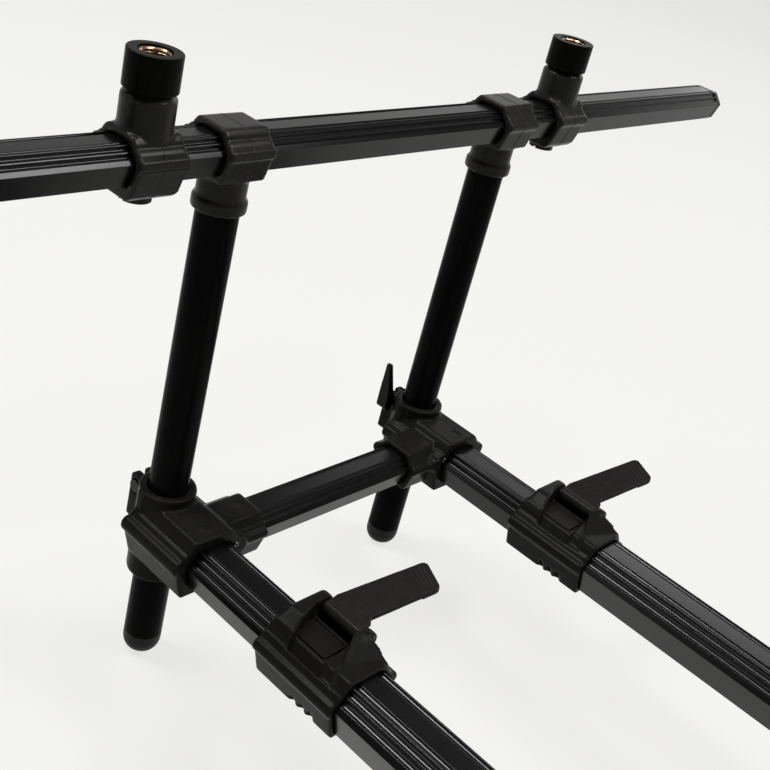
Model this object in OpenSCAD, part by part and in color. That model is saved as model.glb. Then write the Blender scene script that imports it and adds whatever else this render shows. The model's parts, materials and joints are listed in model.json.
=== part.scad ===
// Rod pod: two telescopic rails with a goal-post frame at each end.
// Each frame carries a buzz bar with two sliding sockets for bite alarms.
// Millimetres. X runs across the pod, Y along the rails, Z up from the feet.

/* [Rails] */
// Length of each outer rail
outer_rail_l = 552; // [500:1:700]
// Wall of the outer rail
outer_wall = 1.8; // [1.4:0.1:2.6]
// Length of each inner rail
inner_rail_l = 330; // [300:1:350]
// Width of the inner rail over its shoulders
inner_rail_w = 24.8; // [23:0.1:27]
// Height of the inner rail
inner_rail_h = 16.1; // [15:0.1:18]
// Wall of the inner rail
inner_wall = 1.6; // [1.2:0.1:2.2]
// Running clearance between inner and outer rail
rail_clear = 0.3; // [0.2:0.05:0.5]
// Bare inner rail between corner block and rail lock
rail_show = 45; // [30:1:70]
// Height of the rails' middle above the ground
rail_z = 67.8; // [62:0.1:90]

/* [Bars] */
// Length of the buzz bar
bar_l = 500; // [380:1:620]
// Width of the buzz bar and crossbar section
bar_w = 20.3; // [19:0.1:22]
// Height of the buzz bar and crossbar section
bar_h = 13.2; // [12:0.1:15]
// Wall of the buzz bar and crossbar
bar_wall = 1.5; // [1.1:0.1:2]
// Height of the buzz bar's middle above the ground
bar_z = 227.8; // [200:0.1:270]
// Thickness of the plugs in the buzz bar's ends
plug_t = 3; // [2:0.5:5]
// How far a plug reaches into the bar
plug_reach = 9; // [5:0.5:15]

/* [Uprights] */
// Distance between the two uprights of one frame
post_gap = 151.6; // [140:0.1:180]
// Outside diameter of an upright
upright_d = 16; // [15:0.1:17]
// Wall of an upright
upright_wall = 1.5; // [1:0.1:2]
// Height of the rubber foot on an upright
foot_h = 10; // [9:0.5:14]
// Flat on the underside of the domed foot
foot_flat_d = 6; // [5:0.5:8]
// How far the foot's stem reaches into the upright
foot_stem = 12; // [8:1:20]

/* [Corner blocks] */
// Wall of the block around the rail
block_wall = 4.6; // [3.8:0.1:5.5]
// Wall of the block around the upright
boss_wall = 3.5; // [3:0.1:4.2]
// Height of the boss over the rails' middle
boss_up = 17.2; // [16:0.1:20]
// Depth of the boss under the rails' middle
boss_down = 24; // [20:0.5:28]
// Distance from the upright's axis to the rail socket's mouth
rail_reach = 31.5; // [30:0.5:38]
// Distance from the upright's axis to the crossbar socket's mouth
cross_reach = 31; // [28:0.5:36]
// Depth of the crossbar in its socket
cross_seat = 12; // [8:0.5:12.5]
// Distance of the crossbar's middle in front of the upright's axis
cross_y = 16.6; // [16:0.1:18]
// Thickness of each clamp ear
ear_t = 4.5; // [4.2:0.1:6]
// Slot between the two clamp ears
ear_slot = 2; // [1.2:0.1:3]
// Distance of the ears' back face behind the upright's axis
ear_reach = 17; // [16.5:0.1:20]
// Diameter of the clamp bolt
bolt_d = 3; // [2.6:0.1:3.4]
// Diameter of the cam lever's pivot pin
cam_pin_d = 2.5; // [2:0.1:3]
// Length of the cam lever over its pivot
cam_lever_l = 22; // [18:0.5:28]
// Width of the cam lever at its root
cam_lever_w = 6; // [5.6:0.1:7]
// Clearance of everything that seats in the block
seat_clear = 0.15; // [0.1:0.05:0.3]

/* [Tees and sockets] */
// Wall of the collars on the buzz bar
collar_wall = 2.7; // [2.2:0.1:3.4]
// Length of a tee's collar along the bar
tee_l = 20; // [16:0.5:26]
// Height of the bead round the tee's sleeve
tee_bead_h = 4.6; // [3.5:0.1:6]
// Distance from the bar's middle down to the sleeve's end
tee_down = 22.6; // [20:0.1:30]
// Length of a socket's collar along the bar
collar_l = 19.5; // [19.2:0.1:26]
// Distance of a socket from the middle of the bar
socket_x = 112.4; // [108:0.1:160]
// Clearance of a collar sliding on the bar
slide_clear = 0.3; // [0.2:0.05:0.5]
// Diameter of the socket's post and turning ring
socket_d = 18.3; // [17.5:0.1:19]
// Distance from the bar's middle up to the post's top
post_up = 20.6; // [18:0.1:26]
// Height of the groove between post and ring
groove_h = 1.6; // [1:0.1:2.5]
// Height of the turning ring
ring_h = 12.2; // [11:0.1:16]
// Diameter of the spigot that the ring turns on
spigot_d = 12; // [11:0.1:13]
// Height of the spigot inside the ring
spigot_h = 3.4; // [2.5:0.1:4]
// Running clearance of turning fits
turn_clear = 0.08; // [0.04:0.01:0.1]
// Diameter of the mouth over the brass insert
mouth_d = 11; // [10:0.1:11.5]
// Depth of the brass insert under the ring's top
mouth_depth = 1.5; // [1:0.1:2.5]
// Outside diameter of the brass insert
insert_d = 12.6; // [12:0.1:14]
// Diameter of the insert's threaded hole at the crests
thread_d = 8.4; // [6.5:0.1:9]
// Diameter of the clamp screw's shank
screw_d = 5; // [4:0.1:6]
// Diameter of the clamp screw's head
screw_head_d = 11; // [9:0.1:12]
// Height of the clamp screw's head
screw_head_h = 2.6; // [2:0.1:4]

/* [Rail locks] */
// Length of a rail lock along the rail
lock_l = 41; // [38:0.5:50]
// Wall of a rail lock around the outer rail
lock_wall = 1.9; // [1.6:0.1:2.5]
// Depth of the outer rail in the lock
lock_seat = 10; // [8:0.5:10.5]
// Width of the lock lever at its hinge
lever_w = 18.4; // [15:0.1:19]
// Width of the lock lever at its tip
lever_tip_w = 14.2; // [11:0.1:15]
// Length of the lock lever from its hinge
lever_l = 39; // [32:0.5:44]
// Thickness of the lock lever's blade
lever_t = 2.2; // [2:0.1:2.6]
// Angle at which the blade leans along the rail
lever_lean = 14; // [8:1:20]
// Angle of the open lever above level
lever_open = 18; // [0:1:40]
// Diameter of the lock's hinge pin
hinge_pin_d = 2.4; // [2:0.1:3]
// Thickness of the pressure pad under the lever
pad_t = 0.9; // [0.7:0.1:1]

/* [Hidden] */
$fn = 64;
front = 0;
rear = 180;
left = -1;
right = 1;
black_metal = "#17181a";
black_nylon = "#242424";
rubber = "#1b1b1b";
brass = "#b8924a";
steel = "#b9bcc0";

// Shares that shape every extruded section
top_share = 0.55;
foot_share = 0.75;
shoulder_share = 0.12;
// Ribs on the section's shoulders
groove_share = 0.16;
groove_sink = 0.35;
slope_grooves = [0.2, 0.58];
crown_groove = 1.2;
// Bead on a moulded sleeve's shoulder: how far it stands out, and the valley above it
bead_out = 0.25;
valley_at = 0.4;
valley_r = 0.4;

// Gap left between parts that move past each other
gap = 0.3;
// Tiny overlap that makes cuts pass right through
eps = 0.05;

post_x = post_gap / 2;
outer_grow = rail_clear + outer_wall;
lock_grow = outer_grow + seat_clear + lock_wall;
block_grow = seat_clear + block_wall;
block_top = inner_rail_h / 2 + block_grow;
collar_grow = slide_clear + collar_wall;
cross_top = bar_h / 2 + seat_clear + collar_wall;
boss_d = upright_d + 2 * (turn_clear + boss_wall);

// Places along a rail, from the middle of the pod
lock_in = outer_rail_l / 2 - lock_seat;
lock_out = lock_in + lock_l;
mouth_y = lock_out + rail_show;
end_y = mouth_y + rail_reach;

// Corner block: end of the rail in it, back of its shell, flank beside the boss, ears, dimples
rail_stop = upright_d / 2 + 3;
block_back = 3.6;
flank_turn = 40;
flank_x = boss_d / 2 + 0.8;
ear_up = boss_up - 2.6;
ear_down = 6;
dimple_d = 5.6;
dimple_h = 0.3;
ear_hole_d = 2.8;
ear_hole_h = 1.6;
crossbar_half = post_x - cross_reach + cross_seat;

// Beads along the moulded sleeves
block_bead_r = 3.6;
lock_bead_r = 2.9;
collar_bead_r = 2.3;

// Tee sleeve over the upright's top
sleeve_wall = 0.9;
sleeve_d = upright_d + 2 * (seat_clear + sleeve_wall);
bead_d = sleeve_d + 2;
upright_top = bar_z - bar_h / 2 - collar_grow - 0.6;

// Dome of the foot
dome_h = foot_h * 0.65;

// Rail lock: hinge, lever, pad and finger notches, from the rail's middle
lock_top = inner_rail_h / 2 + lock_grow;
barrel_r = hinge_pin_d / 2 + 1.7;
lug_wall = 1.2;
hinge_in = 0.5;
lug_t = 4.6;
lug_r = barrel_r + lug_wall;
brow_x = 2.5;
cheek_x = 8.3;
cheek_in = 1.4;
ramp_fall = 15;
ramp_lean = 7;
ramp_up = 0.4;
flare_y = 10.8;
flare_wall = 1;
swing_room = 3;
window_x = 12.4;
pad_w = inner_rail_w * 0.48;
pad_z = inner_rail_h / 2 + gap;
blade_top = 2.4;
lever_floor = pad_z + pad_t + gap;
hinge_z = lever_floor + blade_top;
hinge_x = inner_rail_w / 2 * top_share + lock_grow * 0.44 + barrel_r + hinge_in;
lug_margin = 1;
waist = 1.6;
lever_y = lock_out - lever_w / 2 - gap - lug_t - lug_margin;
lever_root = barrel_r + lug_wall + lug_margin;
tip_grip = 8;
tip_extra = 0.7;
tip_mid = [lever_l * cos(lever_lean), -lever_l * sin(lever_lean)];
tip_slant = 22;
tip_r = 2.4;
tip_out = [cos(tip_slant), -sin(tip_slant)];
tip_up = [sin(tip_slant), cos(tip_slant)];
tip_round = [for (s = [1, -1]) tip_mid + s * tip_up * (lever_tip_w / 2 - tip_r) - tip_out * tip_r];
notch_back = 10;
notch_pitch = 4.6;
notch_r = 1.3;
notch_h = 10;

// Cam lever: pivot from the upright's axis and the rail's middle, fin, bolt head
cam_y = boss_d / 2 - 1 + cam_lever_w / 2;
cam_z = 9.6;
cam_r = cam_pin_d / 2 + 1.4;
cam_x = -(ear_slot / 2 + ear_t + gap + cam_r);
fin_lean = 1.9;
fin_tip_w = 2.4;
fin_tip_t = 2;
fin_back = 0.4;
fin_tip_y = 1.4;
fin_bulge = cam_lever_l * 0.45;
bolt_head_d = bolt_d + 2.5;
bolt_head_h = 2.2;
bolt_seat = ear_slot / 2 + ear_t - bolt_head_h;

// Socket: collar foot, groove, spigot wall, floor of the bolt hole, insert, coin slot
collar_foot = 2.2;
groove_in = 1.3;
spigot_wall = 1.1;
bolt_floor = bar_h / 2 + collar_grow;
insert_h = ring_h - spigot_h - gap - 2 * seat_clear - mouth_depth;
coin_w = 1.6;
coin_h = 1.2;

// Section outline: flat top, sloping shoulders, sides drawn in to a narrower foot
function shoulder(w, h) = [w / 2, h * shoulder_share];
function crown(w, h) = [w / 2 * top_share, h / 2];
function heel(w, h) = [w / 2 * foot_share, -h / 2];
function side_normal(a, b) = [a[1] - b[1], b[0] - a[0]] / norm(b - a);
function meet(n, p, m, q) =
  let (det = n[0] * m[1] - n[1] * m[0], c = n * p, d = m * q)
  [c * m[1] - d * n[1], d * n[0] - c * m[0]] / det;
// Right half of the outline, each face moved out by grow
function half_outline(w, h, grow) =
  let (c = crown(w, h), s = shoulder(w, h), f = heel(w, h),
       slope = side_normal(c, s), side = side_normal(s, f),
       cc = c + [0, grow], ss = s + slope * grow, sd = s + side * grow, ff = f - [0, grow])
  [meet([0, 1], cc, slope, ss), meet(slope, ss, side, sd), meet(side, sd, [0, -1], ff)];
function outline(w, h, grow) =
  let (r = half_outline(w, h, grow))
  [r[0], r[1], r[2], [-r[2][0], r[2][1]], [-r[1][0], r[1][1]], [-r[0][0], r[0][1]]];

lock_heel = half_outline(inner_rail_w, inner_rail_h, lock_grow)[2];
collar_heel = half_outline(bar_w, bar_h, collar_grow)[2];
collar_bottom = collar_heel[1] - collar_foot;

// Plain section
module section(w, h, grow = 0) { polygon(outline(w, h, grow)); }

// Section with three grooves along each shoulder
module ribbed_section(w, h, grow = 0) {
  r = half_outline(w, h, grow);
  slope = side_normal(r[0], r[1]);
  len = norm(r[1] - r[0]);
  along = (r[1] - r[0]) / len;
  groove_r = len * groove_share;
  difference() {
    section(w, h, grow);
    for (s = [-1, 1]) scale([s, 1]) {
      for (t = slope_grooves)
        translate(r[0] + along * len * t + slope * groove_r * groove_sink) circle(groove_r);
      translate(r[0] + groove_r * [-crown_groove, groove_sink]) circle(groove_r);
    }
  }
}

// Collar outline: the section with a bead on each shoulder and a valley over it
module beaded_section(w, h, grow, bead_r) {
  r = half_outline(w, h, grow);
  slope = side_normal(r[0], r[1]);
  outward = slope + side_normal(r[1], r[2]);
  len = norm(r[1] - r[0]);
  along = (r[1] - r[0]) / len;
  difference() {
    union() {
      section(w, h, grow);
      for (s = [-1, 1]) scale([s, 1])
        translate(r[1] - outward / norm(outward) * bead_r * (1 - bead_out)) circle(bead_r);
    }
    for (s = [-1, 1]) scale([s, 1])
      translate(r[0] + along * len * valley_at + slope * bead_r * valley_r / 2) circle(bead_r * valley_r);
  }
}

// Extrusion along the rails between two places, and along the bars
module along_y(y0, y1) { translate([0, y1, 0]) rotate([90, 0, 0]) linear_extrude(y1 - y0) children(); }
module along_x(x0, x1) { translate([x0, 0, 0]) rotate([90, 0, 90]) linear_extrude(x1 - x0) children(); }

// Placement: a frame at one end of the pod, a piece on one side of it, a mirrored hand, a rail lock.
// The rear frame is the front one turned half round, so its right-hand pieces stand on the pod's left.
module at_end(turn) { rotate([0, 0, turn]) translate([0, end_y, 0]) children(); }
module at_side(side) { translate([side * post_x, 0, 0]) children(); }
module handed(side) { at_side(side) mirror([side < 0 ? 1 : 0, 0, 0]) children(); }
module at_socket(side) { translate([side * socket_x, 0, bar_z]) children(); }
module at_lock(turn, side) { rotate([0, 0, turn]) translate([side * post_x, 0, rail_z]) children(); }

// Outer rail: black anodised extrusion in the middle of the pod
module outer_rail(side) {
  half = outer_rail_l / 2;
  color(black_metal) translate([side * post_x, 0, rail_z]) difference() {
    along_y(-half, half) ribbed_section(inner_rail_w, inner_rail_h, outer_grow);
    along_y(-half - eps, half + eps) section(inner_rail_w, inner_rail_h, rail_clear);
  }
}

// Inner rail: slides in the outer rail and seats in the corner block
module inner_rail(side) {
  inner_end = -rail_stop - inner_rail_l;
  color(black_metal) at_side(side) translate([0, 0, rail_z]) difference() {
    along_y(inner_end, -rail_stop) ribbed_section(inner_rail_w, inner_rail_h);
    along_y(inner_end - eps, -rail_stop + eps) section(inner_rail_w, inner_rail_h, -inner_wall);
  }
}

// Plan of the lock lever's blade, hinge line at x = 0, straight past the hinge lugs, round tip corners
module lever_plan(grow = 0, waist_in = waist) {
  side = lever_w / 2 + grow;
  root = lever_root + swing_room * grow;
  r = tip_r + grow;
  polygon([[0, side], [root, side], tip_round[0] + tip_up * r, tip_round[0] + tip_out * r,
           tip_round[1] + tip_out * r, tip_round[1] - tip_up * r,
           [root + waist_in, waist_in - side], [root, -side], [0, -side]]);
  for (corner = tip_round) translate(corner) circle(r);
}

// Rail lock: moulded sleeve on the outer rail's end, with hinge lugs and a window for the lever
module rail_lock(turn, side) {
  brow_z = hinge_z + lug_r;
  lever_edge = lever_y - lever_w / 2 - gap;
  color(black_nylon) at_lock(turn, side) difference() {
    union() {
      along_y(lock_in, lock_out) beaded_section(inner_rail_w, inner_rail_h, lock_grow, lock_bead_r);
      for (s = [-1, 1]) translate([0, lever_y + s * (lever_w + lug_t + 2 * gap) / 2, 0])
        along_y(-lug_t / 2, lug_t / 2) {
          translate([hinge_x, hinge_z]) circle(lug_r);
          polygon([[0, hinge_z - lug_r], [hinge_x, hinge_z - lug_r], [hinge_x, brow_z], [0, lock_top]]);
        }
      intersection() {
        along_y(lock_in + lug_margin, lock_out - lug_margin)
          polygon([[-cheek_x, lock_top - cheek_in], [-cheek_x, lock_top], [-brow_x, brow_z],
                   [hinge_x, brow_z], [hinge_x, hinge_z - lug_r]]);
        translate([hinge_x, lever_edge, brow_z + ramp_up]) rotate([ramp_fall, -ramp_lean, 0])
          translate([-lock_l, -lock_l, -lock_l]) cube([2 * lock_l, 2 * lock_l, lock_l]);
      }
    }
    along_y(lock_in - eps, outer_rail_l / 2 + seat_clear)
      section(inner_rail_w, inner_rail_h, outer_grow + seat_clear);
    along_y(lock_in - eps, lock_out + eps) section(inner_rail_w, inner_rail_h, rail_clear);
    difference() {
      translate([hinge_x, lever_y, 0]) mirror([1, 0, 0]) linear_extrude(2 * lock_top) lever_plan(gap, 0);
      along_y(lock_in, lock_out) section(inner_rail_w, inner_rail_h, pad_t + gap);
      translate([-window_x - 2 * lever_l, lock_in, 0]) cube([2 * lever_l, lock_l, lever_floor - gap]);
    }
    difference() {
      linear_extrude(2 * lock_top)
        polygon([[hinge_x - lever_root, lever_edge], [-window_x, lever_edge - flare_y],
                 [-window_x, lever_edge]]);
      along_y(lock_in, lock_out) section(inner_rail_w, inner_rail_h, outer_grow + seat_clear + flare_wall);
    }
    translate([hinge_x, lever_y, hinge_z - barrel_r - gap]) translate([0, -lever_w / 2 - gap, 0])
      cube([lock_top, lever_w + 2 * gap, lock_top]);
    translate([0, lever_y, 0]) along_y(-lever_w / 2 - gap, lever_w / 2 + gap)
      translate([hinge_x, hinge_z]) circle(barrel_r + gap);
    translate([-pad_w / 2, lever_y - lever_w / 2, 0]) cube([pad_w, lever_w, lever_floor - gap + eps]);
    along_y(lock_in - eps, lock_out + eps) translate([hinge_x, hinge_z]) circle(hinge_pin_d / 2 + turn_clear);
    for (s = [-1, 1], i = [-1:1])
      translate([s * lock_heel[0], lever_y - notch_back + i * notch_pitch, lock_heel[1]])
        cylinder(r = notch_r, h = notch_h, center = true);
  }
}

// Lock lever: blade with a thickened tip on a hinge barrel, modelled open
module lock_lever(turn, side) {
  color(black_nylon) at_lock(turn, side)
    translate([hinge_x, lever_y, hinge_z]) rotate([0, -lever_open, 0]) difference() {
      union() {
        along_y(-lever_w / 2, lever_w / 2) circle(barrel_r);
        translate([0, 0, blade_top - lever_t]) linear_extrude(lever_t) lever_plan();
        translate([0, 0, blade_top - lever_t - tip_extra]) linear_extrude(tip_extra + eps) intersection() {
          lever_plan();
          translate(tip_mid) rotate(-tip_slant) translate([-tip_grip, -lever_l]) square(2 * lever_l);
        }
      }
      along_y(-lever_w, lever_w) circle(hinge_pin_d / 2 + turn_clear);
    }
}

// Hinge pins of the four rail locks
module lock_pins() {
  pin_l = lever_w + 2 * gap + 2 * lug_t;
  color(steel) for (turn = [front, rear], side = [left, right]) at_lock(turn, side)
    translate([hinge_x, lever_y, hinge_z]) rotate([90, 0, 0])
      cylinder(d = hinge_pin_d, h = pin_l, center = true);
}

// Pressure pads between the lock levers and the inner rails
module lock_pads() {
  color(black_nylon) for (turn = [front, rear], side = [left, right]) at_lock(turn, side)
    translate([gap - pad_w / 2, lever_y - lever_w / 2 + gap, pad_z])
      cube([pad_w - 2 * gap, lever_w - 2 * gap, pad_t]);
}

// Corner block: moulded joint of rail, crossbar and upright, split behind the upright
module corner_block(side) {
  boss_h = boss_up + boss_down;
  color(black_nylon) difference() {
    union() {
      at_side(side) translate([0, 0, rail_z]) {
        along_y(-rail_reach, block_back) beaded_section(inner_rail_w, inner_rail_h, block_grow, block_bead_r);
        translate([0, 0, -boss_down]) cylinder(d = boss_d, h = boss_h);
        linear_extrude(boss_up) polygon([[0, block_back], [-flank_x, block_back], [-flank_x, 0],
          [-boss_d / 2 * sin(flank_turn), -boss_d / 2 * cos(flank_turn)], [0, 0]]);
        for (s = [-1, 1]) translate([s * (ear_slot + ear_t) / 2 - ear_t / 2, 0, -ear_down])
          cube([ear_t, ear_reach, ear_down + ear_up]);
      }
      handed(side) translate([0, -cross_y, rail_z]) along_x(-cross_reach, 0)
        beaded_section(bar_w, bar_h, seat_clear + collar_wall, collar_bead_r);
    }
    at_side(side) translate([0, 0, rail_z]) {
      translate([0, 0, -boss_down - eps]) cylinder(d = upright_d + 2 * turn_clear, h = boss_h + 2 * eps);
      along_y(-rail_reach - eps, seat_clear - rail_stop) section(inner_rail_w, inner_rail_h, seat_clear);
      translate([-ear_slot / 2, 0, -boss_down - eps]) cube([ear_slot, 2 * ear_reach, boss_h + 2 * eps]);
      translate([0, cam_y, cam_z]) rotate([0, 90, 0])
        cylinder(d = bolt_d + 2 * seat_clear, h = 2 * ear_reach, center = true);
      for (s = [-1, 1]) translate([s * (ear_slot + ear_t) / 2, cam_y, ear_up - ear_hole_h])
        cylinder(d = ear_hole_d, h = 2 * ear_hole_h);
      translate([0, dimple_d - rail_reach, block_top - dimple_h]) cylinder(d = dimple_d, h = 1);
    }
    handed(side) translate([bolt_seat, cam_y, rail_z + cam_z]) rotate([0, 90, 0])
      cylinder(d = bolt_head_d + 2 * seat_clear, h = ear_t);
    handed(side) translate([0, -cross_y, rail_z]) {
      along_x(-cross_reach - eps, cross_seat + seat_clear - cross_reach) section(bar_w, bar_h, seat_clear);
      translate([dimple_d - cross_reach, 0, cross_top - dimple_h]) cylinder(d = dimple_d, h = 1);
    }
  }
}

// Cam lever: fin on the inner side of the clamp ears, turned about its pin along Y
module cam_lever(side) {
  slot = bolt_d / 2 + gap;
  color(black_nylon) handed(side) translate([cam_x, cam_y, rail_z + cam_z]) difference() {
    intersection() {
      union() {
        along_y(-cam_lever_w / 2, cam_lever_w / 2) circle(cam_r);
        along_y(-cam_lever_w / 2, cam_lever_w / 2)
          polygon([[cam_r, 0], [-cam_r, 0], [-cam_r, fin_bulge],
                   [-fin_lean - fin_tip_t / 2, cam_lever_l], [fin_tip_t / 2 - fin_lean, cam_lever_l],
                   [cam_r * fin_back, fin_bulge]]);
      }
      rotate([90, 0, 90]) linear_extrude(8 * cam_r, center = true)
        polygon([[-cam_lever_w / 2, -cam_r], [cam_lever_w / 2, -cam_r], [cam_lever_w / 2, fin_bulge],
                 [fin_tip_y + fin_tip_w / 2, cam_lever_l], [fin_tip_y - fin_tip_w / 2, cam_lever_l],
                 [-cam_lever_w / 2, fin_bulge / 2]]);
    }
    translate([-slot, -slot, -cam_r - eps]) cube([slot + cam_r + eps, 2 * slot, cam_r + slot + eps]);
    along_y(-cam_lever_w, cam_lever_w) circle(cam_pin_d / 2 + turn_clear);
  }
}

// Clamp bolts: a bolt through both ears, its head outside and the cam lever's pin across its inner end
module clamp_bolts(turn) {
  head_x = bolt_seat + seat_clear;
  color(steel) at_end(turn) for (side = [left, right]) handed(side) translate([0, cam_y, rail_z + cam_z]) {
    translate([cam_x, 0, 0]) rotate([0, 90, 0]) cylinder(d = bolt_d, h = head_x - cam_x + eps);
    translate([head_x, 0, 0]) rotate([0, 90, 0]) cylinder(d = bolt_head_d, h = bolt_head_h);
    translate([cam_x, 0, 0]) rotate([90, 0, 0]) cylinder(d = cam_pin_d, h = cam_lever_w, center = true);
  }
}

// Crossbar between the two corner blocks
module crossbar() {
  color(black_metal) translate([0, -cross_y, rail_z]) difference() {
    along_x(-crossbar_half, crossbar_half) ribbed_section(bar_w, bar_h);
    along_x(-crossbar_half - eps, crossbar_half + eps) section(bar_w, bar_h, -bar_wall);
  }
}

// Upright: tube through the corner block, its lower end the leg
module upright(side) {
  color(black_metal) at_side(side) translate([0, 0, foot_h + seat_clear]) difference() {
    cylinder(d = upright_d, h = upright_top - foot_h - seat_clear);
    translate([0, 0, -eps]) cylinder(d = upright_d - 2 * upright_wall, h = upright_top);
  }
}

// Feet: domed plugs with a stem in the lower ends of both uprights
module feet(turn) {
  r = upright_d / 2;
  flat = foot_flat_d / 2;
  dome = [for (a = [0:10:90]) [flat + (r - flat) * sin(a), dome_h * (1 - cos(a))]];
  stem_r = r - upright_wall - seat_clear;
  color(rubber) at_end(turn) for (side = [left, right]) at_side(side)
    rotate_extrude() polygon(concat([[0, 0]], dome, [[r, foot_h], [stem_r, foot_h],
                                    [stem_r, foot_h + foot_stem], [0, foot_h + foot_stem]]));
}

// Tee: collar on the buzz bar with a beaded sleeve over the upright
module tee(side) {
  color(black_nylon) at_side(side) translate([0, 0, bar_z]) difference() {
    union() {
      along_x(-tee_l / 2, tee_l / 2) beaded_section(bar_w, bar_h, seat_clear + collar_wall, collar_bead_r);
      translate([0, 0, -tee_down]) cylinder(d = sleeve_d, h = tee_down);
      translate([0, 0, -tee_down]) cylinder(d = bead_d, h = tee_bead_h);
    }
    along_x(-tee_l, tee_l) section(bar_w, bar_h, seat_clear);
    translate([0, 0, -tee_down - eps])
      cylinder(d = upright_d + 2 * seat_clear, h = tee_down + eps + upright_top + seat_clear - bar_z);
  }
}

// Buzz bar: black anodised extrusion that carries the sockets
module buzz_bar() {
  color(black_metal) translate([0, 0, bar_z]) difference() {
    along_x(-bar_l / 2, bar_l / 2) ribbed_section(bar_w, bar_h);
    along_x(-bar_l, bar_l) section(bar_w, bar_h, -bar_wall);
  }
}

// Plugs in both ends of the buzz bar
module bar_plugs() {
  face = bar_l / 2 + seat_clear;
  color(black_nylon) for (side = [0, 180]) translate([0, 0, bar_z]) rotate([0, 0, side]) {
    along_x(face, face + plug_t) section(bar_w, bar_h);
    along_x(face - plug_reach, face + eps) section(bar_w, bar_h, -bar_wall - seat_clear);
  }
}

// Socket collar: slides on the bar, with the post and hollow spigot that the ring turns on
module socket_collar(side) {
  shoulder_d = socket_d - 2 * groove_in;
  color(black_nylon) at_socket(side) difference() {
    union() {
      along_x(-collar_l / 2, collar_l / 2) {
        beaded_section(bar_w, bar_h, collar_grow, collar_bead_r);
        polygon([[collar_heel[0], collar_heel[1]], [collar_heel[0] - collar_foot, collar_bottom],
                 [collar_foot - collar_heel[0], collar_bottom], [-collar_heel[0], collar_heel[1]]]);
      }
      cylinder(d = socket_d, h = post_up);
      cylinder(d = shoulder_d, h = post_up + groove_h - gap);
      cylinder(d = spigot_d, h = post_up + groove_h + spigot_h);
    }
    along_x(-collar_l, collar_l) section(bar_w, bar_h, slide_clear);
    translate([0, 0, bolt_floor]) cylinder(d = spigot_d - 2 * spigot_wall, h = 2 * post_up);
    translate([0, 0, collar_bottom - eps]) cylinder(d = screw_d + 2 * turn_clear, h = -collar_bottom);
  }
}

// Turning ring over the post, moulded round the brass insert
module socket_ring(side) {
  color(black_nylon) at_socket(side) translate([0, 0, post_up + groove_h]) difference() {
    cylinder(d = socket_d, h = ring_h);
    translate([0, 0, -eps]) cylinder(d = spigot_d + 2 * turn_clear, h = spigot_h + gap + 2 * eps);
    translate([0, 0, spigot_h + gap]) cylinder(d = insert_d + 2 * seat_clear, h = insert_h + 2 * seat_clear);
    cylinder(d = mouth_d, h = ring_h + eps);
  }
}

// Brass insert with the thread of a bite alarm
module thread_insert(side) {
  floor_z = post_up + groove_h + spigot_h + gap + seat_clear;
  color(brass) at_socket(side) translate([0, 0, floor_z]) difference() {
    cylinder(d = insert_d, h = insert_h);
    translate([0, 0, -eps]) cylinder(d = thread_d, h = insert_h + 2 * eps);
  }
}

// Clamp screw under the socket collar, with a coin slot
module clamp_screw(side) {
  top = -bar_h / 2 - gap;
  color(black_nylon) at_socket(side) difference() {
    union() {
      translate([0, 0, collar_bottom - gap - screw_head_h]) cylinder(d = screw_head_d, h = screw_head_h);
      translate([0, 0, collar_bottom - gap - eps]) cylinder(d = screw_d, h = top - collar_bottom + gap + eps);
    }
    translate([-screw_head_d, -coin_w / 2, collar_bottom - gap - screw_head_h - eps])
      cube([2 * screw_head_d, coin_w, coin_h + eps]);
  }
}

outer_rail(left);  // left_outer_rail
outer_rail(right);  // right_outer_rail
lock_pins();
lock_pads();
rail_lock(front, left);  // front_left_lock
rail_lock(front, right);  // front_right_lock
rail_lock(rear, right);  // rear_left_lock
rail_lock(rear, left);  // rear_right_lock
lock_lever(front, left);  // front_left_lock_lever
lock_lever(front, right);  // front_right_lock_lever
lock_lever(rear, right);  // rear_left_lock_lever
lock_lever(rear, left);  // rear_right_lock_lever
at_end(front) inner_rail(left);  // front_left_inner_rail
at_end(front) inner_rail(right);  // front_right_inner_rail
at_end(rear) inner_rail(right);  // rear_left_inner_rail
at_end(rear) inner_rail(left);  // rear_right_inner_rail
at_end(front) corner_block(left);  // front_left_block
at_end(front) corner_block(right);  // front_right_block
at_end(rear) corner_block(right);  // rear_left_block
at_end(rear) corner_block(left);  // rear_right_block
at_end(front) cam_lever(left);  // front_left_cam_lever
at_end(front) cam_lever(right);  // front_right_cam_lever
at_end(rear) cam_lever(right);  // rear_left_cam_lever
at_end(rear) cam_lever(left);  // rear_right_cam_lever
clamp_bolts(front);  // front_clamp_bolts
clamp_bolts(rear);  // rear_clamp_bolts
at_end(front) crossbar();  // front_crossbar
at_end(rear) crossbar();  // rear_crossbar
at_end(front) upright(left);  // front_left_upright
at_end(front) upright(right);  // front_right_upright
at_end(rear) upright(right);  // rear_left_upright
at_end(rear) upright(left);  // rear_right_upright
feet(front);  // front_feet
feet(rear);  // rear_feet
at_end(front) tee(left);  // front_left_tee
at_end(front) tee(right);  // front_right_tee
at_end(rear) tee(right);  // rear_left_tee
at_end(rear) tee(left);  // rear_right_tee
at_end(front) buzz_bar();  // front_buzz_bar
at_end(rear) buzz_bar();  // rear_buzz_bar
at_end(front) bar_plugs();  // front_bar_plugs
at_end(rear) bar_plugs();  // rear_bar_plugs
at_end(front) socket_collar(left);  // front_left_collar
at_end(front) socket_collar(right);  // front_right_collar
at_end(rear) socket_collar(right);  // rear_left_collar
at_end(rear) socket_collar(left);  // rear_right_collar
at_end(front) socket_ring(left);  // front_left_ring
at_end(front) socket_ring(right);  // front_right_ring
at_end(rear) socket_ring(right);  // rear_left_ring
at_end(rear) socket_ring(left);  // rear_right_ring
at_end(front) thread_insert(left);  // front_left_insert
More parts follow.
